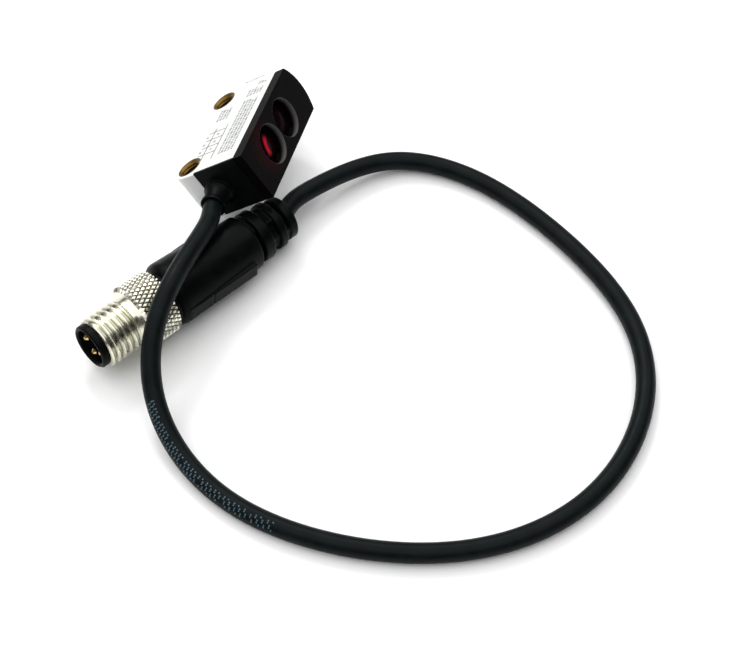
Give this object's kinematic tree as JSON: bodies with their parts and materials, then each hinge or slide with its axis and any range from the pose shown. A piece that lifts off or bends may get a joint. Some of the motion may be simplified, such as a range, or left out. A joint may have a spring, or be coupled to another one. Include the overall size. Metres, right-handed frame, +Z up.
{
  "type": "diffuse photoelectric sensor",
  "caption": "Miniature diffuse photoelectric sensor: white housing, dark twin-lens front, short cable looped to a round screw plug.",
  "frame": {"origin": "Centre of the box round the sensor's housing and nipple, on the table it lies on; the cable and the plug are left out of that box.", "axes": "+Z up from the table, +Y along the housing from its cable end to its far end, +X to the side that the loop of cable lies on."},
  "size_m": [0.0801, 0.0713, 0.0172],
  "materials": {
    "white_plastic": "satin",
    "black_cover": "satin",
    "black_plastic": "matte",
    "brass": "satin",
    "tinted_lens": "gloss",
    "circuit_board": "satin",
    "chip_black": "matte",
    "led_clear": "gloss",
    "capacitor_tan": "matte",
    "wire_brown": "satin",
    "wire_blue": "satin",
    "cable_black": "satin",
    "nickel_plate": "satin",
    "gold_plate": "polished"
  },
  "bodies": {
    "sensor_and_cable": {"housing": "white_plastic", "front_cover": "black_cover", "end_cap": "black_plastic", "near_insert": "brass", "far_insert": "brass", "lens_plate": "tinted_lens", "optics_holder": "black_plastic", "optics_board": "circuit_board", "emitter_led": "led_clear", "receiver_chip": "chip_black", "status_led": "led_clear", "main_board": "circuit_board", "signal_chip": "chip_black", "supply_capacitor": "capacitor_tan", "brown_wire": "wire_brown", "blue_wire": "wire_blue", "black_wire": "cable_black", "cable_nipple": "black_plastic", "cable": "cable_black", "plug_boot": "black_plastic", "contact_carrier": "black_plastic", "contact_pin_1": "gold_plate", "contact_pin_3": "gold_plate", "contact_pin_4": "gold_plate"},
    "coupling_screw": {"coupling_screw": "nickel_plate"}
  },
  "joints": [
    {"name": "coupling_screw_turn", "type": "hinge", "parent": "sensor_and_cable", "child": "coupling_screw", "pos_m": [-0.00533, -0.03001, 0.00514], "axis": [0.522, 0.8518, -0.0448], "continuous": true}
  ]
}
